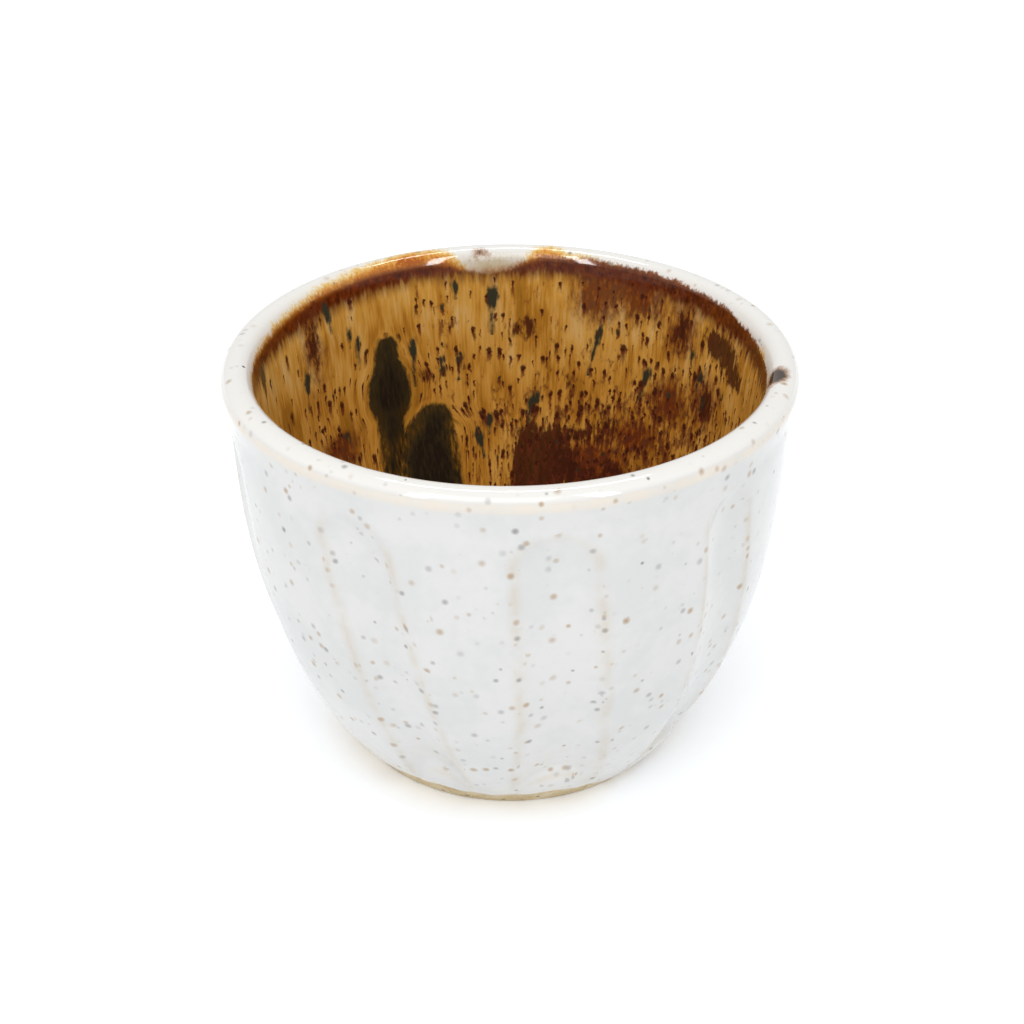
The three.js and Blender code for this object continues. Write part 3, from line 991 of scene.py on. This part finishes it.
def white_glaze():
    shader = Shader("white_glaze")
    place = shader.place()
    thinning_and_shade = shader.attribute("thinning_and_shade")
    mottle = place.noise(9, detail=3)
    fine = place.noise(1.6, detail=3)
    colour = (mottle + fine.sway(0.4)).rise(0.35, 0.65).mix(COOL_WHITE, WHITE)
    depth = shader.flow().parts()[2]
    shoulder_beige_and_light = depth.rise(-3.7, -2.9) * depth.rise(-1.8, -2.4)
    lip = depth.rise(-2.4, -1.5)
    worn = place.noise(3).rise(0.25, 0.65)
    low_edge = shader.attribute("above_foot").rise(0.9, 0)
    colour = lip.mix(colour, lip_white(shader))
    # painted highlight with a real beige: the shoulder under the lip is painted warmer and lighter, as where
    # it tilts up to the light
    colour = (shoulder_beige_and_light * (worn * 0.4 + 0.35)).mix(colour, BEIGE_AND_PAINTED_LIGHT)
    # tan where the glaze thins on the flutes' edges, along their arches and at its lower edge, and painted
    # shade in the flutes' pockets
    colour = (thinning_and_shade * worn * 0.33).math("MAXIMUM", low_edge * 0.4).mix(colour, TAN)
    crowd = place.noise(6).sway(1.2) + thinning_and_shade * 0.4 + 0.27
    grey_place = place.vector("ADD", GREY_SPECK_SHIFT)
    dark_place = place.vector("ADD", DARK_SPECK_SHIFT)
    tan_specks, tan_tone = speck_layer(place, 1.5, 0.46, crowd)
    grey_specks, grey_tone = speck_layer(grey_place, 1.5, 0.42, crowd)
    dark_specks, dark_tone = speck_layer(dark_place, 2.6, 0.34, crowd + lip * 0.4)
    colour = (tan_specks * (tan_tone * 0.5 + 0.25)).mix(colour, SPECK_TAN)
    colour = (grey_specks * (grey_tone * 0.5 + 0.15)).mix(colour, SPECK_GREY)
    colour = (dark_specks * (dark_tone * 0.5 + lip * 0.45 + 0.12)).mix(colour, SPECK_DARK)
    below = white_mask(shader) * depth.rise(0.8, 1.4)
    colour = below.mix(colour, rust(shader))
    shader.bump(fine * 0.25 + mottle + tan_specks * 0.12, 0.06)
    return shader.finish(Base_Color=colour, Roughness=fine * 0.08 + 0.03, Specular_IOR_Level=0.4)


# Amber glaze

MILK = srgb(220, 192, 144)
BROWN = srgb(72, 33, 23)
MAROON = srgb(108, 53, 33)
PURPLE_BROWN = srgb(100, 52, 36)
SLATE = srgb(58, 59, 46)
GOLD = srgb(214, 156, 62)
AMBER_TONES = [
    (0.2, srgb(154, 111, 36)),
    (0.38, srgb(188, 129, 44)),
    (0.5, srgb(216, 159, 68)),
    (0.64, srgb(230, 179, 91)),
    (0.85, srgb(240, 207, 146)),
]
PATCH_TONES = [(0.3, srgb(52, 24, 17)), (0.5, srgb(70, 33, 23)), (0.66, srgb(92, 44, 29))]
HAZE_TONES = [(0.36, srgb(140, 72, 30)), (0.48, srgb(110, 44, 20)), (0.6, PURPLE_BROWN)]
RUN_TONES = [
    (0.48, srgb(35, 31, 26)),
    (0.62, srgb(60, 51, 31)),
    (0.76, srgb(86, 62, 26)),
    (0.95, srgb(150, 108, 40)),
]

# Layers of brown specks: spacing, size of the head, length of the tail, and share that shows
COMETS = [(2.4, 0.52, 2.6, 0.75), (1.5, 0.39, 2.0, 0.9), (1.0, 0.25, 1.3, 0.8)]


def unrolled(shader):
    """Place on the inside laid out flat: along the wall from the back, and down. The cut is at the front."""
    x, y, depth = shader.flow().strayed(size=0.6, amount=0.65).parts()
    return shader.joined(x.math("ARCTAN2", y) * FLOW_RADIUS, depth, 0)


def comet_layer(shader, place, spacing, radius, tail, shown):
    """Masks of the heads and tails of specks that slid a little way down, and a random number for each."""
    apart, chance = place.cells((spacing, spacing * 1.9, 1), flat=True)
    beside, down, _ = apart.parts()
    grown = radius * (chance[1] * 0.8 + 0.4)
    head = shader.joined(beside, down * 0.7, 0).vector("LENGTH").rise(grown * 1.1, grown * 0.5)
    fading = down.rise(tail, tail * 0.2) * down.rise(-0.1, 0.1)
    behind = beside.math("ABSOLUTE").rise(grown * 0.9, grown * 0.35) * fading
    there = (chance[0] - shown).rise(0.02, -0.02)
    return head * there, behind * there, chance[2]


def amber_colour(shader):
    """Streaked honey glaze, paler near the lip and deeper towards the floor."""
    flow = shader.flow()
    depth = flow.parts()[2]
    hair = flow.noise(0.3, stretch=12)
    streak = flow.noise(1.3, stretch=5, detail=3)
    broad = flow.noise(7, stretch=1.6)
    tone = hair.sway(0.4) + streak.sway(0.6) + broad.sway(0.6) + 0.54 - depth * 0.004
    milky = (streak + hair.sway(0.6)).rise(0.5, 0.75) * depth.rise(18, 4)
    return (milky * 0.45).mix(tone.ramp(AMBER_TONES), MILK), hair, streak


def marked_colour(shader):
    """The amber with its rust band, patches, slate streaks and specks."""
    flow = shader.flow()
    colour, hair, streak = amber_colour(shader)
    comb = flow.noise(0.5, stretch=5)
    crumbs = flow.noise(0.6, stretch=2, detail=3, roughness=0.6)
    ragged = flow.noise(2.2, stretch=1.8)
    fringe = shader.attribute("below_band") + comb.sway(2.4) + ragged.sway(0.8)
    colour = (fringe.rise(1.8, -0.4) * 0.85).mix(colour, PURPLE_BROWN)
    colour = fringe.rise(0.5, -0.5).mix(colour, rust(shader))
    speckle = shader.attribute("speckle")
    mottle = (crumbs + speckle * 0.3 + ragged.sway(0.5)).rise(0.72, 0.92)
    colour = (mottle * 0.7).mix(colour, MAROON)
    haze = shader.attribute("haze") + comb.sway(2.5) + crumbs.sway(4) + ragged.sway(3)
    colour = (haze.rise(-2.2, 1.2) * 0.9).mix(colour, crumbs.ramp(HAZE_TONES))
    patch = shader.attribute("patch") + comb.sway(3) + crumbs.sway(3.2) + ragged.sway(1.8)
    colour = (patch.rise(-0.7, 0.45) * 0.95).mix(colour, crumbs.ramp(PATCH_TONES))
    slate = shader.attribute("slate") + comb.sway(0.9) + crumbs.sway(0.9)
    colour = slate.rise(-0.32, 0.2).mix(colour, SLATE)
    place = unrolled(shader)
    for spacing, radius, tail, share in COMETS:
        head, behind, chance = comet_layer(shader, place, spacing, radius, tail, speckle * share)
        core = chance.rise(0.9, 0.94).mix(BROWN, SLATE)
        colour = (behind * 0.92).mix(colour, MAROON)
        colour = (head * 0.94).mix(colour, head.rise(0.3, 1).mix(MAROON, core))
    return colour, hair, streak


def inside_glaze(name):
    """Glaze of the inside. The dark runs have the same marks, so that their thin edges melt into it."""
    shader = Shader(name)
    flow = shader.flow()
    colour, hair, streak = marked_colour(shader)
    threads = shader.place().noise(0.4, stretch=14, detail=3)
    crumbs = flow.noise(0.6, stretch=2, detail=3, roughness=0.6)
    run = shader.attribute("run") + threads.sway(0.7) + crumbs.sway(0.9)
    colour = (run.rise(-0.7, -0.15) * 0.5).mix(colour, GOLD)
    low = flow.parts()[2].rise(19, 27)
    narrow = run.rise(1.9, 0.4)
    gilded = threads.sway(low * narrow * 1.1 + 0.35) + narrow * (low * 0.18 + 0.12) + 0.5
    colour = run.rise(-0.3, 0.25).mix(colour, gilded.ramp(RUN_TONES))
    colour = white_mask(shader).mix(lip_white(shader), colour)
    shader.bump(streak + hair * 0.2, 0.025)
    return shader.finish(Base_Color=colour, Roughness=streak * 0.08 + 0.06, Specular_IOR_Level=0.22)


# Bare clay

CLAY_TONES = [(0.3, srgb(196, 170, 126)), (0.5, srgb(224, 205, 166)), (0.7, srgb(238, 226, 203))]


def bare_clay():
    shader = Shader("bare_clay")
    place = shader.place()
    mottle = place.noise(4, detail=4)
    grit = place.noise(0.35, detail=3, roughness=0.7)
    colour = (mottle + grit.sway(0.5)).ramp(CLAY_TONES)
    specks, tone = speck_layer(place, 1.4, 0.32, 0.6)
    colour = (specks * (tone * 0.5 + 0.5)).mix(colour, SPECK_DARK)
    shader.bump(grit + mottle * 0.5, 0.12)
    return shader.finish(Base_Color=colour, Roughness=grit * 0.2 + 0.72)


# Studio

CAMERA_TILT = 29.222  # degrees below the horizon
CAMERA_DISTANCE = 264
CAMERA_AIM_HEIGHT = 28.61
CAMERA_LENS = 78.47
NEAREST_SEEN = 10
AXIS_PIXEL_LEFT_OF_CENTRE = 2
IMAGE_PIXELS = 1024
FLOOR_REACH = 3000
AMBIENT = 0.74
FLOOR_COLOUR = (0.93, 0.944, 0.96, 1)
FLOOR_GLOW = 0.2  # lifts the floor towards white, more so further out, where no shadow falls
FAR_GLOW = 0.42
GLOW_COLOUR = (0.97, 1, 1.03, 1)
GLOW_NEAR = 20
GLOW_FAR = 65
FLOOR_CORNERS = 96
FLOOR_HOLE_INSET = 0.1  # the floor is open under the foot, so that light reaches the underside


def camera():
    tilt = math.radians(CAMERA_TILT)
    aim = Vector((0, 0, CAMERA_AIM_HEIGHT))
    back = Vector((0, -math.cos(tilt), math.sin(tilt)))
    data = bpy.data.cameras.new("camera")
    data.lens = CAMERA_LENS
    data.shift_x = AXIS_PIXEL_LEFT_OF_CENTRE / IMAGE_PIXELS
    data.clip_start = NEAREST_SEEN * MM
    eye = placed("camera", data)
    eye.location = (aim + back * CAMERA_DISTANCE) * MM
    eye.rotation_euler = (math.pi / 2 - tilt, 0, 0)
    bpy.context.scene.camera = eye


def lamp(name, azimuth, elevation, distance, width, height, power, gleam_only=False):
    """A soft box that looks at the cup from an angle round it and a lift above the floor. It may light
    nothing and only be seen reflected in the glaze."""
    turn, lift = math.radians(azimuth), math.radians(elevation)
    towards = Vector((math.sin(turn) * math.cos(lift), -math.cos(turn) * math.cos(lift), math.sin(lift)))
    data = bpy.data.lights.new(name, "AREA")
    data.shape = "RECTANGLE"
    data.size = width * MM
    data.size_y = height * MM
    data.energy = power
    box = placed(name, data)
    box.location = (Vector((0, 0, HEIGHT / 2)) + towards * distance) * MM
    box.rotation_euler = towards.to_track_quat("Z", "Y").to_euler()
    box.visible_diffuse = not gleam_only


def rays(nodes, kind):
    """1 for rays of a kind, such as Camera for what is looked at straight."""
    return Field(nodes, nodes.node("ShaderNodeLightPath").outputs[f"Is {kind} Ray"])


def world():
    made = bpy.data.worlds.new("studio")
    bpy.context.scene.world = made
    made.use_nodes = True
    nodes = Nodes(made.node_tree)
    level = rays(nodes, "Camera").between(0, 1, AMBIENT, 1)
    nodes.fill(made.node_tree.nodes["Background"], Color=PURE_WHITE, Strength=level)


def floor_mesh():
    """A wide disc with a hole that the foot covers."""
    hole = wall_radius(0) - BARE_CLAY_DEPTH - FOOT_ROUND - FLOOR_HOLE_INSET
    turn = np.linspace(0, 2 * np.pi, FLOOR_CORNERS, endpoint=False)
    circle = np.stack([np.cos(turn), np.sin(turn), 0 * turn], -1)
    points = np.vstack([circle * FLOOR_REACH, circle * hole]) * MM
    mesh = bpy.data.meshes.new("floor")
    mesh.from_pydata(points.tolist(), [], face_list(2, FLOOR_CORNERS, closed=False))
    return mesh


def floor():
    """A white floor that keeps the cup's shadow and can be looked through from below."""
    material = bpy.data.materials.new("floor")
    material.use_nodes = True
    material.node_tree.nodes.clear()
    nodes = Nodes(material.node_tree)
    surface = nodes.node("ShaderNodeNewGeometry").outputs
    away = Field(nodes, surface["Position"]).vector("LENGTH")
    level = away.between(GLOW_NEAR * MM, GLOW_FAR * MM, FLOOR_GLOW, FAR_GLOW)
    paper = nodes.result("ShaderNodeBsdfDiffuse", FLOOR_COLOUR)
    glow = nodes.result("ShaderNodeEmission", GLOW_COLOUR, level)
    lit = nodes.result("ShaderNodeAddShader", paper, glow)
    straight = rays(nodes, "Camera").math("MAXIMUM", rays(nodes, "Glossy"))
    seen = nodes.result("ShaderNodeMixShader", straight, paper, lit)
    clear = nodes.result("ShaderNodeBsdfTransparent")
    sides = nodes.result("ShaderNodeMixShader", Field(nodes, surface["Backfacing"]), seen, clear)
    nodes.node("ShaderNodeOutputMaterial", sides)
    mesh = floor_mesh()
    mesh.materials.append(material)
    made = placed("floor", mesh)


camera()
world()
floor()
lamp("window", azimuth=-8, elevation=48, distance=1400, width=900, height=700, power=5.2)
for strip, azimuth in (("left_strip", -36), ("right_strip", 36)):
    lamp(strip, azimuth, elevation=38, distance=700, width=80, height=420, power=2.2, gleam_only=True)
lamp("back_strip", azimuth=180, elevation=68, distance=700, width=420, height=70, power=1.6, gleam_only=True)
bpy.context.scene.view_settings.view_transform = "Standard"

clay_body(bare_clay())
white_coat(white_glaze())
amber_liner(inside_glaze("amber_glaze"))
run_glass = inside_glaze("dark_glaze")
dark_run("tall_run", run_glass, "dark_run_tall", TALL_RUN)
dark_run("broad_run", run_glass, "dark_run_broad", BROAD_RUN)
